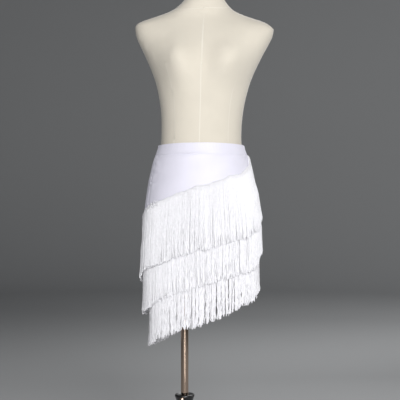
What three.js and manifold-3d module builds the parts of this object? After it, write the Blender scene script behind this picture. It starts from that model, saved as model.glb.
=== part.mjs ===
// Fringed dance skirt on a limbless dress form with a telescoping pole stand.
// Millimetres, +Z up. The origin is the centre of the base plate's underside, on the pole's axis.
// The front faces -Y. Angles round the body run from 0 at its left side (+X) through 90 at the
// back (+Y) and 180 at its right side (-X) to 270 at the front (-Y).
import * as THREE from 'three';
import { mergeVertices } from 'three/addons/utils/BufferGeometryUtils.js';
import Module from 'manifold-3d';

const wasm = await Module();
wasm.setup();

// Dress form: half width, depth to the front and to the back at each height. A squareness of 2 is
// an ellipse, and more is fuller at the corners. The form leans a little to its left side, and the
// neck sits a little to the right of the shoulders' middle.
const FORM_CENTRE_X = 48;
const LEAN = { from: 1000, slope: 0.0314 };
const FORM_SECTIONS = [
  { height: 1456, half: 38, front: 37, back: 38, square: 2 },
  { height: 1449, half: 50, front: 49, back: 50, square: 2 },
  { height: 1425, half: 52, front: 50, back: 52, square: 2 },
  { height: 1400, half: 57, front: 52, back: 54, square: 2 },
  { height: 1381, half: 71.5, front: 54, back: 57, square: 2 },
  { height: 1363, half: 94, front: 55, back: 60, square: 2 },
  { height: 1346, half: 136, front: 57, back: 62, square: 2.1 },
  { height: 1328, half: 186, front: 64, back: 68, square: 2.3 },
  { height: 1311, half: 200, front: 73, back: 76, square: 2.4 },
  { height: 1290, half: 197, front: 83, back: 84, square: 2.4 },
  { height: 1262, half: 184, front: 93, back: 91, square: 2.35 },
  { height: 1235, half: 170, front: 99, back: 95, square: 2.3 },
  { height: 1205, half: 156, front: 102, back: 96, square: 2.2 },
  { height: 1168, half: 140.4, front: 103, back: 94, square: 2.1 },
  { height: 1125, half: 128.5, front: 99, back: 91, square: 2 },
  { height: 1070, half: 118.5, front: 94, back: 87.5, square: 2 },
  { height: 1010, half: 115.8, front: 92, back: 86, square: 2 },
  { height: 978, half: 117, front: 94, back: 90, square: 2 },
  { height: 967, half: 120, front: 96, back: 92, square: 2 },
  { height: 957, half: 124.5, front: 98, back: 95, square: 2 },
  { height: 947, half: 129.5, front: 100, back: 99, square: 2 },
  { height: 934, half: 134.8, front: 102, back: 104, square: 2 },
  { height: 915, half: 139.7, front: 103.5, back: 110, square: 2 },
  { height: 899, half: 143.4, front: 104.5, back: 115, square: 2 },
  { height: 885, half: 146.5, front: 105, back: 118, square: 2 },
  { height: 850, half: 153, front: 105.5, back: 122.5, square: 2 },
  { height: 800, half: 160, front: 105, back: 122, square: 2 },
  { height: 745, half: 164.5, front: 104.5, back: 117, square: 2 },
  { height: 690, half: 165.5, front: 104, back: 113.5, square: 2 },
  { height: 668, half: 163, front: 101.5, back: 111, square: 2 },
  { height: 655, half: 155, front: 94, back: 103, square: 2 },
  { height: 650, half: 142, front: 81, back: 90, square: 2 },
];
const NECK_TOP = 1458;
const NECK_ASIDE = [
  { height: 1311, aside: 0 },
  { height: 1334, aside: -9.5 },
  { height: 1352, aside: -8.5 },
  { height: 1369, aside: -6.5 },
  { height: 1386, aside: -4 },
  { height: 1449, aside: -3 },
];
const BUST = { across: 77, height: 1212, width: 50, tall: 58, out: 34 };

// Skirt cloth: it follows the form down to where it hangs free, and then draws in to its hem.
const CLOTH = { wall: 1.2, easeSides: 2, easeFront: 0.6, easeBack: 0.6 };
const HANGING_SECTIONS = [
  { height: 745, half: 166.5, front: 105.1, back: 117.6 },
  { height: 702, half: 167.2, front: 105, back: 116 },
  { height: 668, half: 166, front: 104.5, back: 115 },
  { height: 640, half: 162.3, front: 103.3, back: 113.3 },
  { height: 620, half: 158.3, front: 101.3, back: 110.8 },
  { height: 600, half: 153, front: 98.6, back: 107.4 },
  { height: 580, half: 147, front: 95.5, back: 103.6 },
  { height: 550, half: 137.5, front: 90.5, back: 97.5 },
];
const HANG_FROM = 745;
const WIDEST = 702;
const FIXED_ROWS = [934, 915, 899, 885];
const ROWS_TO_HEM = 8;
const SEAM = { gap: 0.3, right: 195, left: 345, radius: 100 };
const SIDES_ROUND = 48;

// Waistband: a ring of folded elastic, slack at the sides and back.
const WAISTBAND = { bottom: 947, thick: 2, ease: 0.6, top: 979, dip: 7, slackSides: 5, slackBack: 3 };
const WAISTBAND_ROWS = [0, 0.5, 1];
const PANEL_TOP = WAISTBAND.bottom - SEAM.gap;

// Fringe: the top edge of the upper header tape, which comes up to the waistband at the left side,
// and how far below it the other two are sewn, with the places where they bend away from that line.
const HEADER_LINE = [
  { angle: 10, height: 944 },
  { angle: 35, height: 941 },
  { angle: 60, height: 912 },
  { angle: 90, height: 852 },
  { angle: 118, height: 802 },
  { angle: 145, height: 771 },
  { angle: 165, height: 763 },
  { angle: 180, height: 769 },
  { angle: 196, height: 790 },
  { angle: 210, height: 806 },
  { angle: 233, height: 822 },
  { angle: 253, height: 843 },
  { angle: 279, height: 864 },
  { angle: 300, height: 882 },
  { angle: 331, height: 903 },
  { angle: 339, height: 915 },
  { angle: 346, height: 935 },
  { angle: 354, height: 943 },
];
const HEADER = { tall: 10, thick: 1.2, off: 0.8 };
const HEM_BELOW_HEADER = 7;
const HIP_LOCK = [
  { along: 0, lift: 0.9, width: 1, ridge: 1 },
  { along: 20, lift: 1.2, width: 1, ridge: 1 },
  { along: 42, lift: 1.3, width: 0.95, ridge: 1 },
  { along: 80, lift: 1, width: 0.9, ridge: 1 },
  { along: 95, lift: 4.8, width: 0.85, ridge: 0.95 },
  { along: 178, lift: 5.6, width: 0.55, ridge: 0.7 },
];
const MIDDLE_LOCK = [
  { along: 0, lift: 0.9, width: 1, ridge: 1 },
  { along: 44, lift: 0.9, width: 0.95, ridge: 1 },
  { along: 80, lift: 0.9, width: 0.9, ridge: 1 },
  { along: 95, lift: 4.8, width: 0.85, ridge: 0.95 },
  { along: 178, lift: 5.6, width: 0.55, ridge: 0.7 },
];
const HEM_LOCK = [
  { along: 0, lift: 0.9, width: 1, ridge: 1 },
  { along: 50, lift: 0.9, width: 0.95, ridge: 1 },
  { along: 100, lift: 1, width: 0.8, ridge: 0.95 },
  { along: 178, lift: 1.2, width: 0.55, ridge: 0.7 },
];
const MIDDLE_BENDS = [{ angle: 206, reach: 16, drop: 16 }];
const BOTTOM_BENDS = [
  { angle: 158, reach: 28, drop: -20 },
  { angle: 322, reach: 22, drop: -18 },
];
const TIERS = [
  { name: 'fringe_top', drop: 0, bends: [], stations: HIP_LOCK },
  { name: 'fringe_middle', drop: 98, bends: MIDDLE_BENDS, stations: MIDDLE_LOCK },
  { name: 'fringe_bottom', drop: 206, bends: BOTTOM_BENDS, stations: HEM_LOCK },
];
const LOCK = { width: 0.8, ridge: 2.6, root: 3, sway: 0.07, uneven: 0.02 };

// Stand: the pole slides in the outer tube and is clamped by the screw in the collar.
const RUNNING_GAP = 0.4;
const FACE_GAP = 0.3;
const POLE = { radius: 11, bottom: 60, top: 770, sides: 24 };
const BASE = { radius: 160, thick: 12, edge: 4, sides: 36 };
const TUBE = { radius: 14, bottom: BASE.thick + FACE_GAP, top: 236 };
const COLLAR = { bottom: 203, top: 256, neck: 17, body: 23, shoulder: 24.5, rim: 28.5, lip: 25.5 };
const COLLAR_SIDES = 24;
const SCREW = { height: 246, turn: 12.6, shank: 3, head: 7, headLong: 11, sides: 12 };

const boreRadius = POLE.radius + RUNNING_GAP;
const radians = THREE.MathUtils.degToRad;

// Smooth curve through a table: the value of one column where another column has the given key.
function readTable(rows, keyColumn, column, key) {
  const rising = rows[0][keyColumn] < rows[rows.length - 1][keyColumn];
  const sorted = rising ? rows : [...rows].reverse();
  const last = sorted.length - 1;
  const clamped = THREE.MathUtils.clamp(key, sorted[0][keyColumn], sorted[last][keyColumn]);
  let i = 0;
  while (i < last - 1 && sorted[i + 1][keyColumn] < clamped) {
    i += 1;
  }
  const gain = (name, a, b) => sorted[b][name] - sorted[a][name];
  const slope = (a, b) => gain(column, a, b) / gain(keyColumn, a, b);
  const span = sorted[i + 1][keyColumn] - sorted[i][keyColumn];
  const u = (clamped - sorted[i][keyColumn]) / span;
  const straight = slope(i, i + 1);
  const startSlope = i > 0 ? slope(i - 1, i + 1) : straight;
  const endSlope = i + 2 <= last ? slope(i, i + 2) : straight;
  const rise = u * u * (3 - 2 * u);
  const start = u * (1 - u) * (1 - u) * startSlope * span;
  const end = u * u * (u - 1) * endSlope * span;
  return sorted[i][column] * (1 - rise) + sorted[i + 1][column] * rise + start + end;
}

// A section is the body's outline at one height. Each layer of the garment is a wider section.
function formSection(height) {
  const read = (column) => readTable(FORM_SECTIONS, 'height', column, height);
  const aside = readTable(NECK_ASIDE, 'height', 'aside', height);
  return {
    height,
    centre: FORM_CENTRE_X + Math.max(0, height - LEAN.from) * LEAN.slope + aside,
    half: read('half'),
    front: read('front'),
    back: read('back'),
    square: read('square'),
  };
}

// Inner face of the skirt's cloth.
function clothSection(height) {
  if (height >= HANG_FROM) {
    const form = formSection(height);
    const half = form.half + CLOTH.easeSides;
    return { ...form, half, front: form.front + CLOTH.easeFront, back: form.back + CLOTH.easeBack };
  }
  const read = (column) => readTable(HANGING_SECTIONS, 'height', column, height);
  return {
    height,
    centre: FORM_CENTRE_X,
    half: read('half'),
    front: read('front'),
    back: read('back'),
    square: 2,
  };
}

// Point of a section at an angle, moved out by a distance, at its own height or another one.
function pointOn(section, angle, out = 0, height = section.height) {
  const cos = Math.cos(radians(angle));
  const sin = Math.sin(radians(angle));
  const power = 2 / section.square;
  const depth = (sin > 0 ? section.back : section.front) + out;
  const x = section.centre + (section.half + out) * Math.sign(cos) * Math.abs(cos) ** power;
  return new THREE.Vector3(x, depth * Math.sign(sin) * Math.abs(sin) ** power, height);
}

// Closed mesh from a list of sections, each a closed loop with the same number of points.
// ends is 'ring' where the last section joins the first, 'wall' where each end is the wall's cut
// edge, and 'cap' where each end is closed to a point: its middle, or the one that is given.
function loft(sections, ends, apexes = []) {
  const around = sections[0].length;
  const points = sections.flat();
  const triangles = [];
  const joins = ends === 'ring' ? sections.length : sections.length - 1;
  for (let k = 0; k < joins; k += 1) {
    const here = k * around;
    const next = ((k + 1) % sections.length) * around;
    for (let j = 0; j < around; j += 1) {
      const up = (j + 1) % around;
      triangles.push([here + j, here + up, next + up], [here + j, next + up, next + j]);
    }
  }
  const lastStart = (sections.length - 1) * around;
  if (ends === 'wall') {
    for (let j = 0; j < around / 2 - 1; j += 1) {
      const across = around - 1 - j;
      triangles.push([j, across, across - 1], [j, across - 1, j + 1]);
      triangles.push([lastStart + j, lastStart + across - 1, lastStart + across]);
      triangles.push([lastStart + j, lastStart + j + 1, lastStart + across - 1]);
    }
  }
  if (ends === 'cap') {
    points.push(apexes[0] ?? middleOf(sections[0]), apexes[1] ?? middleOf(sections[sections.length - 1]));
    const [first, last] = [points.length - 2, points.length - 1];
    for (let j = 0; j < around; j += 1) {
      const up = (j + 1) % around;
      triangles.push([up, j, first], [lastStart + j, lastStart + up, last]);
    }
  }
  return geometryOf(points, triangles);
}

function middleOf(section) {
  return section.reduce((sum, point) => sum.add(point), new THREE.Vector3()).divideScalar(section.length);
}

// Faces are turned round where the loft came out inside out.
function geometryOf(points, triangles) {
  const volume = triangles.reduce((sum, [a, b, c]) => {
    const cross = new THREE.Vector3().crossVectors(points[b], points[c]);
    return sum + points[a].dot(cross) / 6;
  }, 0);
  const index = triangles.flatMap(([a, b, c]) => (volume > 0 ? [a, b, c] : [a, c, b]));
  const geometry = new THREE.BufferGeometry().setFromPoints(points);
  geometry.setIndex(index);
  geometry.computeVertexNormals();
  return geometry;
}

function toSolid(geometry) {
  const bare = geometry.clone();
  bare.deleteAttribute('normal');
  bare.deleteAttribute('uv');
  const merged = mergeVertices(bare, 1e-4);
  const mesh = new wasm.Mesh({
    numProp: 3,
    vertProperties: Float32Array.from(merged.attributes.position.array),
    triVerts: Uint32Array.from(merged.index.array),
  });
  return new wasm.Manifold(mesh);
}

function fromSolid(solid) {
  const { numProp, vertProperties, triVerts } = solid.getMesh();
  const geometry = new THREE.BufferGeometry();
  const positions = [];
  for (let i = 0; i < vertProperties.length; i += numProp) {
    positions.push(vertProperties[i], vertProperties[i + 1], vertProperties[i + 2]);
  }
  geometry.setAttribute('position', new THREE.Float32BufferAttribute(positions, 3));
  geometry.setIndex(Array.from(triVerts));
  geometry.computeVertexNormals();
  return geometry;
}

// Turned piece: its profile is a list of radius and height, from the axis or closed on itself.
function turned(profile, sides) {
  const points = profile.map(([radius, height]) => new THREE.Vector2(radius, height));
  return new THREE.LatheGeometry(points, sides).rotateX(Math.PI / 2);
}

function material(color, roughness, metalness = 0) {
  return new THREE.MeshStandardMaterial({ color, roughness, metalness });
}

const model = new THREE.Group();

function addPiece(name, geometry, finish) {
  const mesh = new THREE.Mesh(geometry, finish);
  mesh.name = name;
  model.add(mesh);
}

// Angles of the section points round the body, all on the same facets.
function anglesBetween(start, end) {
  const step = 360 / SIDES_ROUND;
  const count = Math.round((end - start) / step);
  return Array.from({ length: count + 1 }, (_, i) => start + i * step);
}

const allRound = anglesBetween(0, 360).slice(0, -1);

// Dress form: smooth torso with a bore for the pole in its flat underside.
function bustOut(point, section) {
  const rise = Math.exp(-(((point.z - BUST.height) / BUST.tall) ** 2));
  const offCentre = Math.abs(point.x - section.centre) - BUST.across;
  const across = Math.exp(-((offCentre / BUST.width) ** 2));
  const facing = Math.max(0, -point.y / section.front);
  return BUST.out * rise * across * facing;
}

function formRing(row) {
  const section = formSection(row.height);
  return allRound.map((angle) => {
    const point = pointOn(section, angle);
    point.y -= bustOut(point, section);
    return point;
  });
}

function dressForm() {
  const rings = [...FORM_SECTIONS].reverse().map(formRing);
  const neck = new THREE.Vector3(formSection(NECK_TOP).centre, 0, NECK_TOP);
  const underside = new THREE.Vector3(FORM_CENTRE_X, 0, rings[0][0].z);
  const boreProfile = [
    [0, underside.z - 10],
    [boreRadius, underside.z - 10],
    [boreRadius, POLE.top + FACE_GAP],
    [0, POLE.top + FACE_GAP],
  ];
  const body = toSolid(loft(rings, 'cap', [underside, neck]));
  return fromSolid(body.subtract(toSolid(turned(boreProfile, POLE.sides))));
}

const jersey = material(0xe3dfd2, 0.9);
addPiece('form_torso', dressForm(), jersey);

// Skirt panels: a wall of cloth between two seams.
function headerHeight(angle, tier) {
  const turn = THREE.MathUtils.euclideanModulo(angle, 360);
  const shifted = (by) => HEADER_LINE.map((row) => ({ ...row, angle: row.angle + by }));
  const around = [...shifted(-360), ...HEADER_LINE, ...shifted(360)];
  const bent = tier.bends.reduce((sum, bend) => {
    return sum + bend.drop * Math.exp(-(((turn - bend.angle) / bend.reach) ** 2));
  }, 0);
  return readTable(around, 'angle', 'height', turn) - tier.drop - bent;
}

function panelSection(angle) {
  const hem = headerHeight(angle, TIERS[TIERS.length - 1]) - HEM_BELOW_HEADER;
  const from = FIXED_ROWS[FIXED_ROWS.length - 1];
  const below = Array.from({ length: ROWS_TO_HEM }, (_, i) => from + ((hem - from) * (i + 1)) / ROWS_TO_HEM);
  const heights = [PANEL_TOP, ...FIXED_ROWS, ...below];
  const outer = heights.map((height) => pointOn(clothSection(height), angle, CLOTH.wall));
  const inner = heights.map((height) => pointOn(clothSection(height), angle));
  return [...outer, ...inner.reverse()];
}

function skirtPanel(start, end) {
  const half = THREE.MathUtils.radToDeg(SEAM.gap / 2 / SEAM.radius);
  const angles = anglesBetween(start, end);
  angles[0] += half;
  angles[angles.length - 1] -= half;
  return loft(angles.map(panelSection), 'wall');
}

const stretchKnit = material(0xf2f0fb, 0.6);
addPiece('skirt_front', skirtPanel(SEAM.right, SEAM.left), stretchKnit);
addPiece('skirt_back', skirtPanel(SEAM.left, SEAM.right + 360), stretchKnit);

// Waistband: its top edge dips to the back and stands off the form at the sides.
function waistbandSection(angle) {
  const side = Math.abs(Math.cos(radians(angle)));
  const toBack = (1 + Math.sin(radians(angle))) / 2;
  const slack = WAISTBAND.slackSides * side ** 2 + WAISTBAND.slackBack * toBack * (1 - side ** 2);
  const top = WAISTBAND.top - WAISTBAND.dip * toBack;
  const heights = WAISTBAND_ROWS.map((share) => WAISTBAND.bottom + (top - WAISTBAND.bottom) * share);
  const face = (thick) => heights.map((height, i) => {
    const share = WAISTBAND_ROWS[i];
    const ease = WAISTBAND.ease + (CLOTH.easeSides - WAISTBAND.ease) * side ** 2 * (1 - share);
    return pointOn(formSection(height), angle, ease + slack * share + thick);
  });
  return [...face(WAISTBAND.thick).reverse(), ...face(0)];
}

addPiece('waistband', loft(allRound.map(waistbandSection), 'ring'), stretchKnit);

// Fringe: header tape round the skirt with locks of cord that hang from it.
function headerSection(angle, tier) {
  const top = headerHeight(angle, tier);
  const onTape = (height, out) => pointOn(clothSection(height), angle, CLOTH.wall + HEADER.off + out);
  const bottom = top - HEADER.tall;
  return [onTape(top, HEADER.thick), onTape(bottom, HEADER.thick), onTape(bottom, 0), onTape(top, 0)];
}

// A lock follows the cloth down to where the skirt is widest, and from there hangs straight. Its
// flat back lies along one facet of the cloth.
function fringeLock(tier, middle) {
  const facet = 360 / SIDES_ROUND;
  const rootHeight = headerHeight(middle, tier) - LOCK.root;
  const wave = Math.sin(middle * 1.7 + tier.drop);
  const longer = 1 + LOCK.uneven * Math.sin(middle * 2.9 + tier.drop);
  const reach = tier.stations[tier.stations.length - 1].along;
  const sections = tier.stations.map(({ along, lift, width, ridge }) => {
    const sway = (LOCK.sway * wave * Math.max(0, along - reach / 2)) / (reach / 2);
    const corner = (aside, out) => {
      const angle = middle + facet * (aside * LOCK.width * width + sway);
      const height = headerHeight(angle, tier) - LOCK.root - along * (along === reach ? longer : 1);
      const level = Math.max(height, Math.min(rootHeight, WIDEST));
      return pointOn(clothSection(level), angle, CLOTH.wall + lift + out, height);
    };
    return [corner(-0.5, 0), corner(0.5, 0), corner(0, LOCK.ridge * ridge)];
  });
  return loft(sections, 'cap');
}

function fringe(tier) {
  let solid = toSolid(loft(allRound.map((angle) => headerSection(angle, tier)), 'ring'));
  allRound.forEach((angle) => {
    solid = solid.add(toSolid(fringeLock(tier, angle + 180 / SIDES_ROUND)));
  });
  return fromSolid(solid);
}

const chainette = material(0xf6f5fa, 0.5);
TIERS.forEach((tier) => addPiece(tier.name, fringe(tier), chainette));

// Stand.
const champagne = material(0xb89a82, 0.2, 1);
const black = material(0x141416, 0.3);

const baseProfile = [
  [0, 0],
  [BASE.radius - BASE.edge / 2, 0],
  [BASE.radius, BASE.edge / 2],
  [BASE.radius, BASE.thick - BASE.edge],
  [BASE.radius - BASE.edge / 3, BASE.thick - BASE.edge / 3],
  [BASE.radius - BASE.edge, BASE.thick],
  [0, BASE.thick],
];
addPiece('base_plate', turned(baseProfile, BASE.sides), black);

const tubeProfile = [
  [boreRadius, TUBE.bottom],
  [TUBE.radius, TUBE.bottom],
  [TUBE.radius, TUBE.top],
  [boreRadius, TUBE.top],
  [boreRadius, TUBE.bottom],
];
addPiece('outer_tube', turned(tubeProfile, POLE.sides), champagne);

const poleProfile = [
  [0, POLE.bottom],
  [POLE.radius, POLE.bottom],
  [POLE.radius, POLE.top - 1],
  [POLE.radius - 1, POLE.top],
  [0, POLE.top],
];
addPiece('pole', turned(poleProfile, POLE.sides), champagne);

const seat = TUBE.radius + RUNNING_GAP;
const collarProfile = [
  [seat, COLLAR.bottom],
  [COLLAR.neck, COLLAR.bottom],
  [COLLAR.neck + 0.5, COLLAR.bottom + 14],
  [COLLAR.body, COLLAR.bottom + 27],
  [COLLAR.shoulder, COLLAR.bottom + 38],
  [COLLAR.rim, COLLAR.top - 6],
  [COLLAR.rim, COLLAR.top - 3],
  [COLLAR.lip, COLLAR.top],
  [COLLAR.lip - 5, COLLAR.top - 1.5],
  [boreRadius, COLLAR.top - 3],
  [boreRadius, TUBE.top + FACE_GAP],
  [seat, TUBE.top + FACE_GAP],
  [seat, COLLAR.bottom],
];

// A piece turned on the screw's axis. The screw passes over the outer tube's end to the pole.
function onScrewAxis(profile) {
  const geometry = turned(profile, SCREW.sides).rotateX(Math.PI / 2);
  return geometry.rotateZ(-radians(SCREW.turn)).translate(0, 0, SCREW.height);
}

const headFace = COLLAR.rim + FACE_GAP;
const headEnd = headFace + SCREW.headLong;
const screwProfile = [
  [0, POLE.radius + FACE_GAP],
  [SCREW.shank, POLE.radius + FACE_GAP],
  [SCREW.shank, headFace],
  [SCREW.head - 1, headFace],
  [SCREW.head, headFace + 1],
  [SCREW.head, headEnd - 1.5],
  [SCREW.head - 1.5, headEnd],
  [0, headEnd],
];
const screwHole = [
  [0, 0],
  [SCREW.shank + RUNNING_GAP, 0],
  [SCREW.shank + RUNNING_GAP, headEnd],
  [0, headEnd],
];
const collar = toSolid(turned(collarProfile, COLLAR_SIDES)).subtract(toSolid(onScrewAxis(screwHole)));
addPiece('collar', fromSolid(collar), black);
addPiece('clamp_screw', onScrewAxis(screwProfile), champagne);

export default model;
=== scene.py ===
import math

import bmesh
import bpy
import numpy as np
from mathutils import Matrix, Vector


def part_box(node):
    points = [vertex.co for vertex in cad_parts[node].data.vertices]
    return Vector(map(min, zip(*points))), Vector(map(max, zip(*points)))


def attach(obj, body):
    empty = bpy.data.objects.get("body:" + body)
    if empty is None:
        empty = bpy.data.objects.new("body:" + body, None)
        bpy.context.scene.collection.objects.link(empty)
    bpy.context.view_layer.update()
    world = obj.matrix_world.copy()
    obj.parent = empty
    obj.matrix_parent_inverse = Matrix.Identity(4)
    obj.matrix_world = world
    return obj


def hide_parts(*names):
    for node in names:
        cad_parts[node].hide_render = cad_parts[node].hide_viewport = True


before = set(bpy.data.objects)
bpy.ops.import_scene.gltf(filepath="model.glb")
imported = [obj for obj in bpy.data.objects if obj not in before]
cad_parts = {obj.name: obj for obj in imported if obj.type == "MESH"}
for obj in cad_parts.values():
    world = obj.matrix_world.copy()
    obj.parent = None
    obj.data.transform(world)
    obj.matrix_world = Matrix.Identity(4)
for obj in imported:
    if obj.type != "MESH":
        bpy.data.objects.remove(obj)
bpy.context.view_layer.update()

# Photo view: the camera stands level in front of the skirt and a little to the form's left of the
# pole, far enough off to take in the neck and the top of the stand.
CAMERA_AT = (0.0444, -2.6, 0.818)
CAMERA_LENS = 80.7
camera_data = bpy.data.cameras.new("camera")
camera_data.lens = CAMERA_LENS
camera_data.sensor_width = 36
camera = bpy.data.objects.new("camera", camera_data)
camera.location = CAMERA_AT
camera.rotation_euler = (math.pi / 2, 0, 0)
bpy.context.collection.objects.link(camera)
bpy.context.scene.camera = camera
bpy.context.scene.view_settings.view_transform = "Standard"

# Studio: a pale floor that sweeps up into a wall all round, and soft lamps. The main lamp stands
# to the right of the camera, so the form's right side, at the left of the view, falls into shade.
# A narrow low lamp draws a stripe of light down the pole.
STUDIO_GREY = (0.37, 0.375, 0.38)
FLOOR_RADIUS = 5.5
WALL_CURVE = 2.0
WALL_HEIGHT = 7.0
SWEEP_STEPS = 12
ROUND_STEPS = 96
SUBJECT = Vector((0.048, 0.0, 0.85))


def link(name, mesh):
    """Returns a new object with this mesh, at the origin."""
    piece = bpy.data.objects.new(name, mesh)
    bpy.context.collection.objects.link(piece)
    return piece


def new_material(name, color, roughness, **sockets):
    """Returns a node material, its nodes and its shader. Sockets are named with underscores."""
    material = bpy.data.materials.new(name)
    material.use_nodes = True
    shader = material.node_tree.nodes["Principled BSDF"]
    shader.inputs["Base Color"].default_value = (*color, 1)
    shader.inputs["Roughness"].default_value = roughness
    for socket, value in sockets.items():
        shader.inputs[socket.replace("_", " ")].default_value = value
    return material, material.node_tree, shader


def studio():
    """Floor and wall, spun from one edge."""
    bm = bmesh.new()
    centre = bm.verts.new((0, 0, 0))
    rim = bm.verts.new((FLOOR_RADIUS, 0, 0))
    bm.edges.new((centre, rim))
    curve = bmesh.ops.spin(
        bm, geom=[rim], axis=(0, -1, 0), cent=(FLOOR_RADIUS, 0, WALL_CURVE),
        angle=math.pi / 2, steps=SWEEP_STEPS, use_merge=False)
    top = [v for v in curve["geom_last"] if isinstance(v, bmesh.types.BMVert)]
    bmesh.ops.translate(
        bm, vec=(0, 0, WALL_HEIGHT - WALL_CURVE),
        verts=[v for v in bmesh.ops.extrude_vert_indiv(bm, verts=top)["verts"]])
    bmesh.ops.spin(
        bm, geom=bm.verts[:] + bm.edges[:], axis=(0, 0, 1), cent=(0, 0, 0),
        angle=2 * math.pi, steps=ROUND_STEPS, use_merge=True)
    bmesh.ops.remove_doubles(bm, verts=bm.verts, dist=1e-5)
    bmesh.ops.recalc_face_normals(bm, faces=bm.faces)
    mesh = bpy.data.meshes.new("studio")
    bm.to_mesh(mesh)
    bm.free()
    mesh.shade_smooth()
    floor = link("studio", mesh)
    material, _, _ = new_material("studio_paper", STUDIO_GREY, 0.9)
    mesh.materials.append(material)


def lamp(name, at, size, watts, aim=SUBJECT):
    """A soft lamp that is so wide and so tall, and faces a point."""
    data = bpy.data.lights.new(name, "AREA")
    data.shape = "RECTANGLE"
    data.size, data.size_y = size
    data.energy = watts
    light = bpy.data.objects.new(name, data)
    light.location = at
    light.rotation_euler = (Vector(aim) - Vector(at)).to_track_quat("-Z", "Y").to_euler()
    light.visible_camera = False
    bpy.context.collection.objects.link(light)


studio()
lamp("main_lamp", (0.80, -2.6, 1.85), (1.0, 0.9), 56)
lamp("fill_lamp", (-0.35, -2.95, 1.05), (1.7, 1.7), 42)
lamp("rim_lamp", (2.0, 0.6, 1.3), (0.6, 1.8), 10)
lamp("back_lamp", (0.5, 1.9, 2.3), (1.2, 1.2), 30)
lamp("pole_lamp", (0.13, -0.95, 0.28), (0.09, 0.5), 0.9, aim=(0, 0, 0.42))
lamp("wall_lamp", (1.8, 1.8, 2.3), (1.6, 1.6), 62, aim=(1.5, 5.5, 2.0))
world = bpy.data.worlds.new("studio_air")
world.use_nodes = True
world.node_tree.nodes["Background"].inputs["Color"].default_value = (0.9, 0.94, 1, 1)
world.node_tree.nodes["Background"].inputs["Strength"].default_value = 0.10
bpy.context.scene.world = world

# Base plate: a round weighted disc of cast metal, turned on its edge and lacquered black. It rests
# on the floor and the outer tube is screwed into its middle.
BLACK = (0.006, 0.006, 0.007)
BASE_RADIUS = 0.160
BASE_THICK = 0.012
BASE_DISH = 0.0016
TURNING_STEPS = 96


def turned(profile, bevel=0.0, steps=TURNING_STEPS):
    """Returns a bmesh turned about Z from a profile of (radius, height), its sharp rims rounded."""
    bm = bmesh.new()
    verts = [bm.verts.new((radius, 0, height)) for radius, height in profile]
    edges = [bm.edges.new(pair) for pair in zip(verts, verts[1:])]
    bmesh.ops.spin(
        bm, geom=verts + edges, axis=(0, 0, 1), cent=(0, 0, 0),
        angle=2 * math.pi, steps=steps, use_merge=True)
    bmesh.ops.remove_doubles(bm, verts=bm.verts, dist=1e-6)
    bmesh.ops.recalc_face_normals(bm, faces=bm.faces)
    if bevel:
        rims = [e for e in bm.edges if e.calc_face_angle(0) > math.radians(20)]
        bmesh.ops.bevel(
            bm, geom=rims, offset=bevel, segments=3, profile=0.5, affect="EDGES", material=-1)
    return bm


def finish_piece(name, bm, material, body, nodes=()):
    """Makes a smooth object from a bmesh that rides on a body and stands for CAD nodes."""
    mesh = bpy.data.meshes.new(name)
    bm.to_mesh(mesh)
    bm.free()
    mesh.shade_smooth()
    mesh.materials.append(material)
    piece = link(name, mesh)
    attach(piece, body)
    if nodes:
        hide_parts(*nodes)
    return piece


def add_node(tree, kind, **sockets):
    """Returns a new node of a material. Its sockets are named with underscores."""
    node = tree.nodes.new("ShaderNode" + kind)
    for socket, value in sockets.items():
        node.inputs[socket.replace("_", " ")].default_value = value
    return node


def join(tree, *links):
    """Links nodes. A link is a node, its output, the node that it goes to and the input there."""
    for start, output, end, socket in links:
        tree.links.new(start.outputs[output], end.inputs[socket])


def black_lacquer():
    """Lacquer with a little orange peel and an uneven gloss."""
    material, tree, shader = new_material(
        "black_lacquer", BLACK, 0.34, Coat_Weight=0.3, Coat_Roughness=0.2)
    place = add_node(tree, "TexCoord")
    dust = add_node(tree, "TexNoise", Scale=22, Detail=8)
    gloss = add_node(tree, "MapRange", From_Min=0.35, From_Max=0.75, To_Min=0.22, To_Max=0.5)
    peel = add_node(tree, "TexNoise", Scale=420)
    bump = add_node(tree, "Bump", Strength=0.12, Distance=0.0002)
    join(
        tree, (place, "Object", dust, "Vector"), (place, "Object", peel, "Vector"),
        (dust, "Fac", gloss, "Value"), (gloss, "Result", shader, "Roughness"),
        (peel, "Fac", bump, "Height"), (bump, "Normal", shader, "Normal"))
    return material


lacquer = black_lacquer()
base_profile = [
    (0, 0), (BASE_RADIUS - 0.003, 0), (BASE_RADIUS, 0.003), (BASE_RADIUS, BASE_THICK - 0.005),
    (BASE_RADIUS - 0.006, BASE_THICK - BASE_DISH), (0.026, BASE_THICK), (0, BASE_THICK)]
finish_piece(
    "stand_base", turned(base_profile, 0.0008), lacquer, "stand", ["base_plate"])

# Outer tube and pole: drawn steel tube plated in a pale rose gold, polished along its length. The
# pole slides in the tube and goes up into the form.
ROSE_GOLD = (0.50, 0.38, 0.30)
POLE_RADIUS = 0.011
TUBE_RADIUS = 0.014
TUBE_WALL = 0.0026


def rose_gold():
    """Plating with fine polishing marks along the tube."""
    material, tree, shader = new_material("rose_gold_plate", ROSE_GOLD, 0.2, Metallic=1)
    place = add_node(tree, "TexCoord")
    stretch = add_node(tree, "Mapping", Scale=(900, 900, 9))
    grain = add_node(tree, "TexNoise", Scale=1, Detail=4)
    gloss = add_node(tree, "MapRange", To_Min=0.07, To_Max=0.15)
    bump = add_node(tree, "Bump", Strength=0.08, Distance=0.0001)
    join(
        tree, (place, "Object", stretch, "Vector"), (stretch, "Vector", grain, "Vector"),
        (grain, "Fac", gloss, "Value"), (gloss, "Result", shader, "Roughness"),
        (grain, "Fac", bump, "Height"), (bump, "Normal", shader, "Normal"))
    return material


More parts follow.
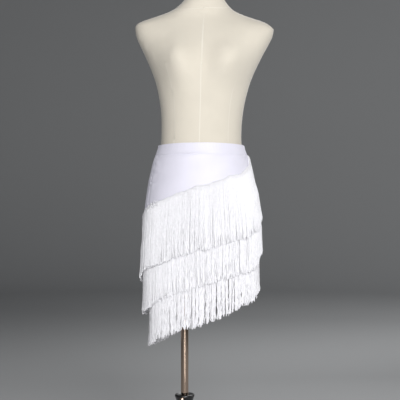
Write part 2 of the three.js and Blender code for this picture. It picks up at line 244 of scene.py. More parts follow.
plating = rose_gold()
pole_low, pole_high = (corner.z for corner in map(Vector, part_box("pole")))
tube_low, tube_high = (corner.z for corner in map(Vector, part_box("outer_tube")))
pole_profile = [(0, pole_low), (POLE_RADIUS, pole_low), (POLE_RADIUS, pole_high), (0, pole_high)]
finish_piece(
    "stand_pole", turned(pole_profile, 0.0006), plating, "pole", ["pole"])
tube_bore = TUBE_RADIUS - TUBE_WALL
tube_profile = [
    (tube_bore, tube_low), (TUBE_RADIUS, tube_low), (TUBE_RADIUS, tube_high),
    (tube_bore, tube_high), (tube_bore, tube_low)]
finish_piece(
    "stand_tube", turned(tube_profile, 0.0003), plating, "stand", ["outer_tube"])

# Collar and clamp screw: a turned black socket, dished at its top, sits over the end of the outer
# tube. A small knurled screw through its wall clamps the pole.
COLLAR_LOW = 0.203
COLLAR_TOP = 0.256
SCREW_HEIGHT = 0.246
SCREW_TURN = math.radians(12.6)
SCREW_SHANK = 0.003
SCREW_END = 0.0113
SCREW_HEAD = 0.007
SCREW_HEAD_FACE = 0.0288
SCREW_HEAD_LONG = 0.011
SCREW_EDGE = 0.001
SCREW_CROWN = 0.0014
KNURLS = 36
KNURL_DEEP = 0.94
KNURL_FROM = SCREW_HEAD - 0.0002
collar_profile = [
    (0.0144, COLLAR_LOW), (0.0168, COLLAR_LOW), (0.0170, 0.208), (0.0176, 0.214),
    (0.0190, 0.220), (0.0212, 0.226), (0.0228, 0.232), (0.0242, 0.238), (0.0258, 0.2438),
    (0.0276, 0.2482), (0.0285, 0.2510), (0.0283, 0.2534), (0.0272, 0.2552),
    (0.0256, COLLAR_TOP), (0.0238, 0.2556), (0.0206, 0.2544), (0.0160, 0.2534),
    (0.0115, 0.2530), (0.0115, 0.2363), (0.0144, 0.2363), (0.0144, COLLAR_LOW)]
finish_piece(
    "stand_collar", turned(collar_profile), lacquer, "stand", ["collar"])


def clamp_screw():
    """Shank and knurled head, turned upright and then laid through the collar's wall."""
    end = SCREW_HEAD_FACE + SCREW_HEAD_LONG
    bm = turned([
        (0, SCREW_END), (SCREW_SHANK, SCREW_END), (SCREW_SHANK, SCREW_HEAD_FACE),
        (SCREW_HEAD - SCREW_EDGE, SCREW_HEAD_FACE), (SCREW_HEAD, SCREW_HEAD_FACE + SCREW_EDGE),
        (SCREW_HEAD, end - SCREW_CROWN), (SCREW_HEAD - SCREW_CROWN, end), (0, end)],
        steps=2 * KNURLS)
    for vert in bm.verts:
        reach = math.hypot(vert.co.x, vert.co.y)
        step = round(math.atan2(vert.co.y, vert.co.x) / (math.pi / KNURLS))
        if reach > KNURL_FROM and step % 2:
            vert.co.xy *= KNURL_DEEP
    lay_down = Matrix.Rotation(math.pi / 2, 4, "X")
    turn = Matrix.Rotation(-SCREW_TURN, 4, "Z")
    lift = Matrix.Translation((0, 0, SCREW_HEIGHT))
    bmesh.ops.transform(bm, matrix=lift @ turn @ lay_down, verts=bm.verts)
    return bm


finish_piece(
    "stand_screw", clamp_screw(), plating, "stand", ["clamp_screw"])

# Dress form: a smooth hollow shell with a thin padded cover of cream jersey. The cover is sewn
# from panels, with seams down the middle of front and back, two on each side, and one at the neck.
JERSEY = (0.66, 0.61, 0.52)
# Lighter colour painted along the seams, a painted highlight.
SEAM_PAINTED_HIGHLIGHT = (0.80, 0.77, 0.70)
SEAM_RIDGE = 0.0006
SEAM_HALF = 0.0027
SEAM_FADE = 0.05
LEAN = math.radians(1.8)
LEAN_FROM = 1.0
CENTRE_X = 0.048
WAIST_HALF = 0.118
WAIST_DEEP = 0.094
NECK_SEAM_AT = 1.359
NECK_SEAM_UP = 0.012
NECK_SEAM_HALF = 0.105
NECK_SEAM_TALL = 0.04
NECK_SEAM_TILT = -0.15
NECK_SEAM_BETWEEN = (1.2, 1.5)
NECK_SEAM_SHOWS = 0.4
SEAM_CLEAR_OF_MIDDLE = 0.03
# Seams of the cover: turn round the body, the heights that each runs between, and how much it
# shows, both as a raised ridge and as a painted highlight.
COVER_SEAMS = [
    {"turn": 267.4, "low": 0.90, "high": 1.36, "shows": 0.5},
    {"turn": 91.3, "low": 0.90, "high": 1.40, "shows": 0.5},
    {"turn": 229, "low": 0.90, "high": 1.23, "shows": 0.3},
    {"turn": 311, "low": 0.90, "high": 1.16, "shows": 0.3},
    {"turn": 130, "low": 0.90, "high": 1.26, "shows": 0.3},
    {"turn": 50, "low": 0.90, "high": 1.26, "shows": 0.3},
]
FORM_LEVELS = 2
FORM_CORRECTIONS = 2


def copy_of(node):
    """Returns a bmesh of a CAD node's solid, merged and with its triangles joined to squares."""
    bm = bmesh.new()
    bm.from_mesh(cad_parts[node].data)
    bmesh.ops.remove_doubles(bm, verts=bm.verts, dist=1e-5)
    bmesh.ops.join_triangles(
        bm, faces=bm.faces, angle_face_threshold=math.radians(40),
        angle_shape_threshold=math.radians(50))
    return bm


def subdivided(bm, levels):
    """Returns a smooth bmesh that still passes through the points of the one it is given."""
    crease = bm.edges.layers.float.new("crease_edge")
    for edge in bm.edges:
        if edge.calc_face_angle(0) > math.radians(50):
            edge[crease] = 1
    targets = np.array([v.co for v in bm.verts])
    controls = targets.copy()
    mesh = bpy.data.meshes.new("subdivided")
    bm.to_mesh(mesh)
    bm.free()
    piece = link("subdivided", mesh)
    smooth = piece.modifiers.new("smooth", "SUBSURF")
    smooth.levels = levels
    smooth.render_levels = levels
    for _ in range(FORM_CORRECTIONS):
        rounded = piece.evaluated_get(bpy.context.evaluated_depsgraph_get()).data
        reached = np.array([v.co for v in rounded.vertices[:len(targets)]])
        controls += targets - reached
        mesh.vertices.foreach_set("co", controls.ravel())
        mesh.update()
        bpy.context.view_layer.update()
    result = bmesh.new()
    result.from_object(piece, bpy.context.evaluated_depsgraph_get())
    bpy.data.objects.remove(piece)
    bpy.data.meshes.remove(mesh)
    return result


def sew_in(bm, point, normal, keep, low, high, shows):
    """Raises a flat seam where a plane cuts the faces that keep() picks, and marks it for the
    painted highlight.
    """
    marked = bm.verts.layers.float["seam"]
    normal = Vector(normal).normalized()
    middle = []
    for offset in (-SEAM_HALF, 0, SEAM_HALF):
        geom = [f for f in bm.faces if keep(f.calc_center_median())]
        geom += list({e for f in geom for e in f.edges}) + list({v for f in geom for v in f.verts})
        cut = bmesh.ops.bisect_plane(
            bm, geom=geom, plane_co=Vector(point) + normal * offset, plane_no=normal, dist=1e-6)
        if offset == 0:
            middle = [v for v in cut["geom_cut"] if isinstance(v, bmesh.types.BMVert)]
    bm.normal_update()
    for vert in middle:
        ends = min(vert.co.z - low, high - vert.co.z) / SEAM_FADE
        vert[marked] = shows * max(0, min(1, ends))
        vert.co += vert.normal * SEAM_RIDGE * vert[marked]


def form_cover():
    """The form's solid made smooth, with the cover's seams sewn in."""
    bm = subdivided(copy_of("form_torso"), FORM_LEVELS)
    bm.verts.layers.float.new("seam")
    foot = Vector((CENTRE_X, 0, LEAN_FROM))
    axis = Vector((math.sin(LEAN), 0, math.cos(LEAN)))
    for seam in COVER_SEAMS:
        turn = math.radians(seam["turn"])
        outward = Vector((WAIST_HALF * math.cos(turn), WAIST_DEEP * math.sin(turn), 0)).normalized()
        sew_in(
            bm, foot, outward.cross(axis),
            lambda c: (c - foot).dot(outward) > SEAM_CLEAR_OF_MIDDLE
            and seam["low"] < c.z < seam["high"],
            seam["low"], seam["high"], seam["shows"])
    neck = Vector((CENTRE_X, 0, NECK_SEAM_AT)) + axis * NECK_SEAM_UP
    sew_in(
        bm, neck, (-math.sin(LEAN), NECK_SEAM_TILT, 1),
        lambda c: abs(c.x - neck.x) < NECK_SEAM_HALF and abs(c.z - NECK_SEAM_AT) < NECK_SEAM_TALL,
        *NECK_SEAM_BETWEEN, NECK_SEAM_SHOWS)
    return bm


def toned(tree, color, darker, lighter, lighter_from=0.7):
    """Returns a ramp from a darker to a lighter tone of a colour."""
    tone = add_node(tree, "ValToRGB")
    low, high = tone.color_ramp.elements
    low.position = 0.3
    low.color = (*(c * darker for c in color), 1)
    high.position = lighter_from
    high.color = (*(c * lighter for c in color), 1)
    return tone


def jersey():
    """Fine ribs and courses over a softly uneven padding, with a painted highlight along the seams.
    """
    material, tree, shader = new_material(
        "cream_jersey", JERSEY, 0.85, Sheen_Weight=0.25, Sheen_Roughness=0.5)
    place = add_node(tree, "TexCoord")
    ribs = add_node(tree, "TexWave", Scale=260, Distortion=1.5, Detail=1)
    ribs.wave_type = "RINGS"
    ribs.rings_direction = "Z"
    courses = add_node(tree, "TexWave", Scale=300, Distortion=1)
    courses.bands_direction = "Z"
    weave = add_node(tree, "Math")
    weave.operation = "ADD"
    padding = add_node(tree, "TexNoise", Scale=9, Detail=3)
    tone = toned(tree, JERSEY, 0.95, 1.03)
    seam = add_node(tree, "Attribute")
    seam.attribute_name = "seam"
    # Painted highlight: the seam mask mixes a lighter colour into the jersey along each seam.
    seam_highlight = add_node(tree, "MixRGB", Color2=(*SEAM_PAINTED_HIGHLIGHT, 1))
    soft = add_node(tree, "Bump", Strength=0.25, Distance=0.004)
    bump = add_node(tree, "Bump", Strength=0.25, Distance=0.0003)
    join(
        tree, (place, "Object", ribs, "Vector"), (place, "Object", courses, "Vector"),
        (place, "Object", padding, "Vector"), (ribs, "Fac", weave, 0), (courses, "Fac", weave, 1),
        (padding, "Fac", tone, "Fac"), (tone, "Color", seam_highlight, "Color1"),
        (seam, "Fac", seam_highlight, "Fac"), (seam_highlight, "Color", shader, "Base Color"),
        (padding, "Fac", soft, "Height"), (soft, "Normal", bump, "Normal"),
        (weave, "Value", bump, "Height"), (bump, "Normal", shader, "Normal"))
    return material


finish_piece(
    "form_cover", form_cover(), jersey(), "form", ["form_torso"])

# Skirt panels: two pieces of stretch knit joined at the side seams, which lie a little forward of
# the sides. Their outer face at each height is an oval, deeper at the back.
SKIRT = [
    {"height": 0.979, "half": 0.1202, "front": 0.0958, "back": 0.0918},
    {"height": 0.967, "half": 0.1232, "front": 0.0978, "back": 0.0938},
    {"height": 0.957, "half": 0.1277, "front": 0.0998, "back": 0.0968},
    {"height": 0.947, "half": 0.1327, "front": 0.1018, "back": 0.1008},
    {"height": 0.934, "half": 0.1380, "front": 0.1038, "back": 0.1058},
    {"height": 0.915, "half": 0.1429, "front": 0.1053, "back": 0.1118},
    {"height": 0.899, "half": 0.1466, "front": 0.1063, "back": 0.1168},
    {"height": 0.885, "half": 0.1497, "front": 0.1068, "back": 0.1198},
    {"height": 0.850, "half": 0.1562, "front": 0.1073, "back": 0.1243},
    {"height": 0.800, "half": 0.1632, "front": 0.1068, "back": 0.1238},
    {"height": 0.745, "half": 0.1677, "front": 0.1063, "back": 0.1188},
    {"height": 0.702, "half": 0.1684, "front": 0.1062, "back": 0.1172},
    {"height": 0.668, "half": 0.1672, "front": 0.1057, "back": 0.1162},
    {"height": 0.640, "half": 0.1635, "front": 0.1045, "back": 0.1145},
    {"height": 0.620, "half": 0.1595, "front": 0.1025, "back": 0.1120},
    {"height": 0.600, "half": 0.1542, "front": 0.0998, "back": 0.1086},
    {"height": 0.580, "half": 0.1482, "front": 0.0967, "back": 0.1048},
    {"height": 0.550, "half": 0.1387, "front": 0.0917, "back": 0.0987},
]
# Top edge of the upper row of fringe, round the body from its left side by way of the back.
HEADER_LINE = [
    {"turn": 10, "height": 0.944}, {"turn": 35, "height": 0.941}, {"turn": 60, "height": 0.912},
    {"turn": 90, "height": 0.852}, {"turn": 118, "height": 0.802}, {"turn": 145, "height": 0.771},
    {"turn": 165, "height": 0.763}, {"turn": 180, "height": 0.769}, {"turn": 196, "height": 0.790},
    {"turn": 210, "height": 0.806}, {"turn": 233, "height": 0.822}, {"turn": 253, "height": 0.843},
    {"turn": 279, "height": 0.864}, {"turn": 300, "height": 0.882}, {"turn": 331, "height": 0.903},
    {"turn": 339, "height": 0.915}, {"turn": 346, "height": 0.935}, {"turn": 354, "height": 0.943},
]
# How far below it each row is sewn, and where it bends away from that line.
ROWS = [
    {"drop": 0.0, "bends": []},
    {"drop": 0.098, "bends": [{"turn": 206, "reach": 16, "drop": 0.016}]},
    {"drop": 0.206, "bends": [
        {"turn": 158, "reach": 28, "drop": -0.020}, {"turn": 322, "reach": 22, "drop": -0.018}]},
]
# Soft ridges where the knit creases: middle, half length, half width, slant in metres of height
# for a turn of one degree, and how far the cloth stands out.
CREASES = [
    {"turn": 205, "height": 0.925, "along": 9, "wide": 0.005, "slant": -0.0011, "out": 0.0018},
    {"turn": 208, "height": 0.905, "along": 11, "wide": 0.006, "slant": -0.0007, "out": 0.0015},
    {"turn": 203, "height": 0.884, "along": 8, "wide": 0.005, "slant": 0.0006, "out": 0.0014},
    {"turn": 214, "height": 0.938, "along": 10, "wide": 0.004, "slant": -0.0002, "out": 0.0010},
    {"turn": 206, "height": 0.858, "along": 9, "wide": 0.006, "slant": 0.0009, "out": 0.0013},
    {"turn": 245, "height": 0.939, "along": 16, "wide": 0.003, "slant": 0.0000, "out": 0.0009},
    {"turn": 262, "height": 0.9435, "along": 14, "wide": 0.002, "slant": 0.0001, "out": 0.0008},
    {"turn": 300, "height": 0.930, "along": 10, "wide": 0.005, "slant": 0.0004, "out": 0.0007},
    {"turn": 334, "height": 0.938, "along": 8, "wide": 0.004, "slant": 0.0009, "out": 0.0014},
    {"turn": 337, "height": 0.921, "along": 7, "wide": 0.005, "slant": 0.0014, "out": 0.0016},
    {"turn": 332, "height": 0.908, "along": 9, "wide": 0.006, "slant": 0.0008, "out": 0.0012},
    {"turn": 355, "height": 0.941, "along": 7, "wide": 0.003, "slant": -0.0012, "out": 0.0012},
    {"turn": 60, "height": 0.935, "along": 16, "wide": 0.004, "slant": -0.0002, "out": 0.0014},
    {"turn": 95, "height": 0.931, "along": 22, "wide": 0.006, "slant": 0.0002, "out": 0.0016},
    {"turn": 118, "height": 0.915, "along": 18, "wide": 0.006, "slant": 0.0004, "out": 0.0017},
    {"turn": 84, "height": 0.905, "along": 15, "wide": 0.007, "slant": -0.0003, "out": 0.0012},
    {"turn": 150, "height": 0.928, "along": 14, "wide": 0.005, "slant": 0.0006, "out": 0.0018},
    {"turn": 166, "height": 0.900, "along": 13, "wide": 0.006, "slant": 0.0010, "out": 0.0016},
    {"turn": 172, "height": 0.868, "along": 12, "wide": 0.007, "slant": 0.0007, "out": 0.0015},
    {"turn": 150, "height": 0.850, "along": 15, "wide": 0.008, "slant": 0.0002, "out": 0.0010},
]
KNIT = (0.72, 0.705, 0.80)
CLOTH_THICK = 0.0012
BAND_LOW = 0.947
PANEL_TOP = BAND_LOW - 0.0001
RIGHT_SEAM = 201
LEFT_SEAM = 335
LEFT_SEAM_BACK = 10
LEFT_SEAM_FROM = 0.78
SEAM_VALLEY = 0.0017
SEAM_VALLEY_HALF = 2.1
PUCKER = 0.0010
PUCKER_PITCH = 0.0105
PUCKER_REACH = 6.0
HEM_BELOW_HEADER = 0.007
WIDTH_STEPS = 200
WIDTH_AT = 0.7


def smooth_reader(rows, key, column, step):
    """Returns a function that reads one column of a table by another, smoothly between rows."""
    ordered = sorted(rows, key=lambda row: row[key])
    keys = np.array([row[key] for row in ordered], dtype=float)
    values = np.array([row[column] for row in ordered], dtype=float)
    slopes = np.gradient(values, keys)
    fine = np.arange(keys[0], keys[-1] + step / 2, step)
    at = np.clip(np.searchsorted(keys, fine, side="right") - 1, 0, len(keys) - 2)
    span = keys[at + 1] - keys[at]
    u = (fine - keys[at]) / span
    rise = u * u * (3 - 2 * u)
    smooth = values[at] * (1 - rise) + values[at + 1] * rise
    smooth += u * (1 - u) ** 2 * slopes[at] * span + u * u * (u - 1) * slopes[at + 1] * span
    return lambda wanted: np.interp(wanted, fine, smooth)


skirt_half = smooth_reader(SKIRT, "height", "half", 0.001)
skirt_front = smooth_reader(SKIRT, "height", "front", 0.001)
skirt_back = smooth_reader(SKIRT, "height", "back", 0.001)
turned_headers = [
    {**row, "turn": row["turn"] + shift} for shift in (-360, 0, 360) for row in HEADER_LINE]
header_at = smooth_reader(turned_headers, "turn", "height", 0.25)


def header_height(turn, row):
    """Height of a row's upper edge at a turn round the body."""
    turn = np.mod(turn, 360)
    height = header_at(turn) - row["drop"]
    for bend in row["bends"]:
        height = height - bend["drop"] * np.exp(-((turn - bend["turn"]) / bend["reach"]) ** 2)
    return height


def on_skirt(turn, level, out, height=None):
    """Points at a turn in degrees, out from the skirt's face at a level, drawn at a height."""
    cos = np.cos(np.radians(turn))
    sin = np.sin(np.radians(turn))
    depth = np.where(sin > 0, skirt_back(level), skirt_front(level)) + out
    across = skirt_half(level) + out
    return np.stack(np.broadcast_arrays(
        CENTRE_X + across * cos, depth * sin, level if height is None else height), axis=-1)


def creased(turn, height):
    """How far the creases lift the cloth at each point."""
    lift = np.zeros(np.broadcast(turn, height).shape)
    for crease in CREASES:
        aside = np.mod(turn - crease["turn"] + 180, 360) - 180
        along = aside / crease["along"]
        across = (height - crease["height"] - crease["slant"] * aside) / crease["wide"]
        lift += crease["out"] * np.exp(-along ** 2 - across ** 2)
    return lift


def left_seam(share):
    """Turn of the left side seam, which swings back to the side near the waistband."""
    swing = np.clip((share - LEFT_SEAM_FROM) / (1 - LEFT_SEAM_FROM), 0, 1)
    return LEFT_SEAM + LEFT_SEAM_BACK * swing


def puckered(turn, height, share):
    """Puckers beside the two side seams, which lie in shallow valleys."""
    lift = np.zeros(np.broadcast(turn, height).shape)
    for seam in (RIGHT_SEAM, left_seam(share)):
        aside = np.mod(turn - seam + 180, 360) - 180
        near = np.exp(-(aside / PUCKER_REACH) ** 2)
        wave = np.sin(2 * math.pi * height / PUCKER_PITCH + 2 * np.sin(height * 90))
        lift += PUCKER * near * (0.8 + wave * np.tanh(aside))
        lift -= SEAM_VALLEY * np.exp(-(aside / SEAM_VALLEY_HALF) ** 2)
    return lift


def mapped_grid(columns, rows, place, close=False):
    """Returns a bmesh grid whose points place(u, v) sets, with u and v from 0 to 1, and a UV map
    in metres of cloth."""
    bm = bmesh.new()
    bmesh.ops.create_grid(bm, x_segments=columns, y_segments=rows, size=0.5)
    u = np.array([v.co.x + 0.5 for v in bm.verts])
    v = np.array([v.co.y + 0.5 for v in bm.verts])
    points = place(u, v)
    across = place(np.linspace(0, 1, WIDTH_STEPS), np.full(WIDTH_STEPS, WIDTH_AT))
    width = np.linalg.norm(np.diff(across, axis=0), axis=1).sum()
    uv = bm.loops.layers.uv.new("cloth")
    for face in bm.faces:
        for loop in face.loops:
            i = loop.vert.index
            loop[uv].uv = (u[i] * width, points[i][2])
    for vert, point in zip(bm.verts, points):
        vert.co = point
    if close:
        bmesh.ops.remove_doubles(bm, verts=bm.verts, dist=1e-6)
    return bm


def panel(seams_at, columns, rows):
    """Returns a panel between two seams, from the waistband down to its slanted hem."""
    def place(u, v):
        start, end = seams_at(v)
        turn = start + (end - start) * u
        hem = header_height(turn, ROWS[-1]) - HEM_BELOW_HEADER
        height = hem + (PANEL_TOP - hem) * v
        return on_skirt(turn, height, creased(turn, height) + puckered(turn, height, v))
    return mapped_grid(columns, rows, place)


def stretch_knit():
    """Fine wales and courses, with a cool sheen and a slightly cloudy tone."""
    material, tree, shader = new_material(
        "stretch_knit", KNIT, 0.5, Sheen_Weight=0.6, Sheen_Roughness=0.5)
    shader.inputs["Sheen Tint"].default_value = (0.9, 0.9, 1, 1)
    place = add_node(tree, "UVMap")
    place.uv_map = "cloth"
    wales = add_node(tree, "TexWave", Scale=430, Distortion=0.6)
    wales.bands_direction = "X"
    courses = add_node(tree, "TexWave", Scale=560, Distortion=0.6)
    courses.bands_direction = "Y"
    weave = add_node(tree, "Math")
    weave.operation = "MULTIPLY"
    bump = add_node(tree, "Bump", Strength=0.3, Distance=0.00025)
    cloud = add_node(tree, "TexNoise", Scale=14, Detail=4)
    tone = toned(tree, KNIT, 0.96, 1.02)
    join(
        tree, (place, "UV", wales, "Vector"), (place, "UV", courses, "Vector"),
        (place, "UV", cloud, "Vector"), (wales, "Fac", weave, 0), (courses, "Fac", weave, 1),
        (weave, "Value", bump, "Height"), (bump, "Normal", shader, "Normal"),
        (cloud, "Fac", tone, "Fac"), (tone, "Color", shader, "Base Color"))
    return material


def thicken(piece, thick, round_rims):
    """Gives a sheet its thickness, inwards, and rounds its cut rims."""
    wall = piece.modifiers.new("wall", "SOLIDIFY")
    wall.thickness = thick
    wall.offset = -1
    rims = piece.modifiers.new("rims", "BEVEL")
    rims.width = round_rims
    rims.segments = 2
    rims.limit_method = "ANGLE"
    rims.angle_limit = math.radians(60)


knit = stretch_knit()
front_panel = finish_piece(
    "skirt_front_panel", panel(lambda share: (RIGHT_SEAM, left_seam(share)), 130, 96), knit,
    "form", ["skirt_front"])
back_panel = finish_piece(
    "skirt_back_panel", panel(lambda share: (left_seam(share), RIGHT_SEAM + 360), 190, 110), knit,
    "form", ["skirt_back"])
thicken(front_panel, CLOTH_THICK, 0.0002)
thicken(back_panel, CLOTH_THICK, 0.0002)

# Waistband: a folded band of elastic under the same knit, sewn to the panels all round. It is snug
# at the front and stands off the form at the sides and back.
BAND_TOP = 0.979
BAND_DIP = 0.011
BAND_THICK = 0.002
BAND_OUT = 0.0002
BAND_SLACK_SIDES = 0.0036
BAND_SLACK_BACK = 0.003
BAND_PUCKER = 0.0003
BAND_PUCKERS = 96
BAND_FOLD = 0.0019
BAND_FOLD_TURN = 253
BAND_FOLD_REACH = 16
BAND_FOLD_TALL = 0.12


def band_place(u, v):
    """Places the band's points: u runs round it and v up from its seam."""
    turn = 360 * u
    side = np.cos(np.radians(turn)) ** 2
    to_back = (1 + np.sin(np.radians(turn))) / 2
    top = BAND_TOP - BAND_DIP * to_back
    height = BAND_LOW + (top - BAND_LOW) * v
    slack = BAND_SLACK_SIDES * side + BAND_SLACK_BACK * to_back * (1 - side)
    gathers = np.sin(np.radians(turn) * BAND_PUCKERS + 3 * np.sin(np.radians(turn) * 7))
    gathers *= BAND_PUCKER * np.sin(math.pi * v) ** 0.5
    aside = (turn - BAND_FOLD_TURN) / BAND_FOLD_REACH
    fold = BAND_FOLD * np.exp(-aside ** 2 - (v / BAND_FOLD_TALL) ** 2)
    return on_skirt(turn, height, BAND_OUT + slack * v + gathers * (0.3 + 0.7 * side) + fold)


band = finish_piece(
    "waistband_ring", mapped_grid(480, 16, band_place, close=True), knit,
    "form", ["waistband"])
thicken(band, BAND_THICK, 0.0003)

# Fringe: three lengths of chainette fringe, each with cords chain-stitched side by side into a
# narrow header, sewn round the skirt one below the other. The cords hang in uneven clumps, which
# part in places on the lowest row.
CORD_WHITE = (0.875, 0.87, 0.90)
CORD_LENGTH = 0.178
CORD_RADIUS = 0.00095
HEADER_TALL = 0.009
HEADER_OFF = 0.0002
HEADER_THICK = 0.0008
TAPE_BELOW = 0.001
ROUND_POINTS = 1200
HEADER_LOOPS = 240
HEADER_LOOP_WIDE = 0.55
HEADER_LOOP_TALL = 0.0012
HEADER_LOOP_OUT = 0.0024
HEADER_LOOP_DEEP = 0.0010
HEADER_LOOP_RADIUS = 0.0009
STITCHES = 300
STITCHED_BELOW = (0.0030, 0.0072)
STITCH_TALL = 0.0006
STITCH_OUT = 0.0042
STITCH_DEEP = 0.0004
THREAD_RADIUS = 0.00035
# Rise and fall of a header's knotted edge: pitch in degrees, and how far it strays.
HEADER_STRAYS = [{"pitch": 1.3, "by": 0.0011}, {"pitch": 7.0, "by": 0.0016}]
# hang is the lowest level to which the cords follow the cloth, before they hang straight down.
# clump is the usual width of a clump, and pull how far its cords draw together. The rest says how
# far cords wave, splay at their tips and differ in length.
TIERS = [
    {"name": "fringe_top", "row": 0, "hang": 0.702, "clump": 0.0046, "pull": 0.05, "wavy": 0.0003,
     "splay": 0.0012, "ragged": 0.0028, "seed": 11},
    {"name": "fringe_middle", "row": 1, "hang": 0.650, "clump": 0.0050, "pull": 0.08,
     "wavy": 0.0004, "splay": 0.0016, "ragged": 0.0034, "seed": 23},
    {"name": "fringe_bottom", "row": 2, "hang": 0.640, "clump": 0.0072, "pull": 0.32,
     "wavy": 0.0007, "splay": 0.0030, "ragged": 0.0046, "seed": 37},
]
# Slits where the lowest row parts: turn, share of the cords' length where each begins, and half
# its width in degrees.
SLITS = [
    {"turn": 238, "from": 0.80, "half": 0.45}, {"turn": 252.3, "from": 0.72, "half": 0.50},
    {"turn": 274.2, "from": 0.45, "half": 0.42}, {"turn": 277.8, "from": 0.58, "half": 0.40},
    {"turn": 289.6, "from": 0.40, "half": 0.45}, {"turn": 297.2, "from": 0.30, "half": 0.50},
    {"turn": 303.6, "from": 0.34, "half": 0.50}, {"turn": 312.0, "from": 0.55, "half": 0.40},
    {"turn": 52, "from": 0.50, "half": 0.50}, {"turn": 81, "from": 0.60, "half": 0.50},
    {"turn": 118, "from": 0.45, "half": 0.50}, {"turn": 149, "from": 0.65, "half": 0.50},
]
# Way of a cord over the cloth: how far along it, how far out of the cloth over the next header,
# and how far out where nothing lies below.
CORD_WAY = [
    {"along": 0.000, "over": 0.0013, "free": 0.0013},
    {"along": 0.010, "over": 0.0015, "free": 0.0015},
    {"along": 0.030, "over": 0.0011, "free": 0.0011},
    {"along": 0.078, "over": 0.0011, "free": 0.0011},
    {"along": 0.096, "over": 0.0038, "free": 0.0011},
    {"along": 0.120, "over": 0.0044, "free": 0.0012},
    {"along": 0.190, "over": 0.0056, "free": 0.0014},
]
# Two layers of cords, the outer one sewn in between the cords of the inner one.
LAYERS = [
    {"out": 0.0, "start": 0.0, "cords": 520, "stations": 12, "sides": 0},
    {"out": 0.0011, "start": 0.5, "cords": 520, "stations": 22, "sides": 1},
]
# Where the ends of the lowest row were cut shorter or longer: turn and reach in degrees, and by
# how much.
TRIMS = [{"turn": 176, "reach": 15, "by": -0.007}, {"turn": 208, "reach": 7, "by": 0.008}]
SEWN_ASIDE = 0.12
SEWN_BELOW = 0.0006
CLUMP_RAGGED = 0.5
CORD_RAGGED = 1.2
LONGEST = 1.2
SWAY = 0.0007
TREMBLE = 0.0003
WAVE_SHORTEST = 0.024
WAVE_LONGEST = 0.040
FLARE = 0.0034
CLUMP_LIFT = 0.0013
CORD_LIFT = 0.0004
LIFTED_FROM = 0.4
SLIT_REACH = 2.0
SLIT_TAPER = 0.18
MEAN_RADIUS = 0.143
NEXT_ROW_CLEAR = 0.62
NEXT_ROW_OVER = 0.66
way_over = smooth_reader(CORD_WAY, "along", "over", 0.001)
way_free = smooth_reader(CORD_WAY, "along", "free", 0.001)


def uneven(turn, seed):
    """Rise and fall of a header's knotted upper edge."""
    rng = np.random.default_rng(seed)
    rise = 0
    for stray in HEADER_STRAYS:
        knots = np.arange(0, 360, stray["pitch"])
        heights = rng.normal(0, stray["by"], len(knots))
        rise = rise + np.interp(np.mod(turn, 360), np.r_[knots, 360], np.r_[heights, heights[0]])
    return rise


def clumps_of(tier, rng):
    """Where the clumps of a tier part, and how each one hangs."""
    clump_turn = math.degrees(tier["clump"] / MEAN_RADIUS)
    edges = np.cumsum(rng.uniform(0.35, 1.6, int(3 * 360 / clump_turn)) * clump_turn)
    edges = edges[edges < 360]
    return {
        "edges": edges,
        "centres": (np.r_[0, edges] + np.r_[edges, 360]) / 2,
        "sway": rng.normal(0, 1, len(edges) + 1),
        "longer": rng.normal(0, 1, len(edges) + 1),
        "lift": rng.uniform(0, 1, len(edges) + 1),
    }


def cord_paths(tier, layer, clumps, rng):
    """Points along every cord of one layer of a tier. share runs from 0 at a cord's root to 1 at
    its tip, so a high power of it acts near the tip only."""
    count = layer["cords"]
    each = (count, 1)
    first = (np.arange(count)[:, None] + layer["start"]) * 360 / count
    first = first + rng.uniform(-SEWN_ASIDE, SEWN_ASIDE, each)
    owner = np.searchsorted(clumps["edges"], np.mod(first, 360))
    centre = clumps["centres"][owner]
    share = np.linspace(0, 1, layer["stations"])[None, :]
    longer = CLUMP_RAGGED * clumps["longer"][owner] + rng.uniform(-CORD_RAGGED, CORD_RAGGED, each)
    longer = tier["ragged"] * np.minimum(longer, LONGEST)
    row = ROWS[tier["row"]]
    for trim in TRIMS if row is ROWS[-1] else []:
        longer = longer + trim["by"] * np.exp(-((first - trim["turn"]) / trim["reach"]) ** 2)
    along = (CORD_LENGTH + longer) * share

    per_degree = math.radians(1) * MEAN_RADIUS
    pull = tier["pull"] * share ** 1.3 * rng.uniform(0.5, 1.1, each)
    turn = first + pull * (centre - np.mod(first, 360))
    turn = turn + SWAY * clumps["sway"][owner] * share ** 1.6 / per_degree
    turn = turn + TREMBLE * rng.normal(0, 1, each) * np.sin(share * 3.1) * share / per_degree
    turn = turn + tier["splay"] * rng.normal(0, 1, each) * share ** 7 / per_degree
    wave_long = rng.uniform(WAVE_SHORTEST, WAVE_LONGEST, each)
    waves = 2 * math.pi * (along / wave_long + rng.uniform(0, 1, each))
    wavy = tier["wavy"] * (0.3 + 0.7 * share) * rng.uniform(0.4, 1.5, each)
    turn = turn + wavy * np.sin(waves) / per_degree
    for slit in SLITS if row is ROWS[-1] else []:
        aside = np.mod(turn - slit["turn"] + 180, 360) - 180
        opening = slit["half"] * np.clip((share - slit["from"]) / SLIT_TAPER, 0, 1)
        turn = turn + opening * np.sign(aside) * np.exp(-(aside / SLIT_REACH) ** 2)

    strays = uneven(first, tier["seed"]) - SEWN_BELOW
    top = header_height(first, row) + strays
    height = header_height(turn, row) + strays - along
    level = np.maximum(height, np.minimum(top, tier["hang"]))
    out = way_free(along)
    if row is not ROWS[-1]:
        next_top = header_height(turn, ROWS[tier["row"] + 1])
        over = np.clip((next_top - NEXT_ROW_CLEAR) / (NEXT_ROW_OVER - NEXT_ROW_CLEAR), 0, 1)
        out = out + over * (way_over(along) - out)
    lift = CLUMP_LIFT * clumps["lift"][owner] + CORD_LIFT * rng.uniform(0, 1, each)
    out = out + layer["out"] + lift * np.clip(share / LIFTED_FROM, 0, 1)
    flare = FLARE * share ** 8 * rng.uniform(0.1, 1, each)
    out = out + flare + 0.5 * wavy * np.cos(waves)
    return on_skirt(turn, level, out, height)


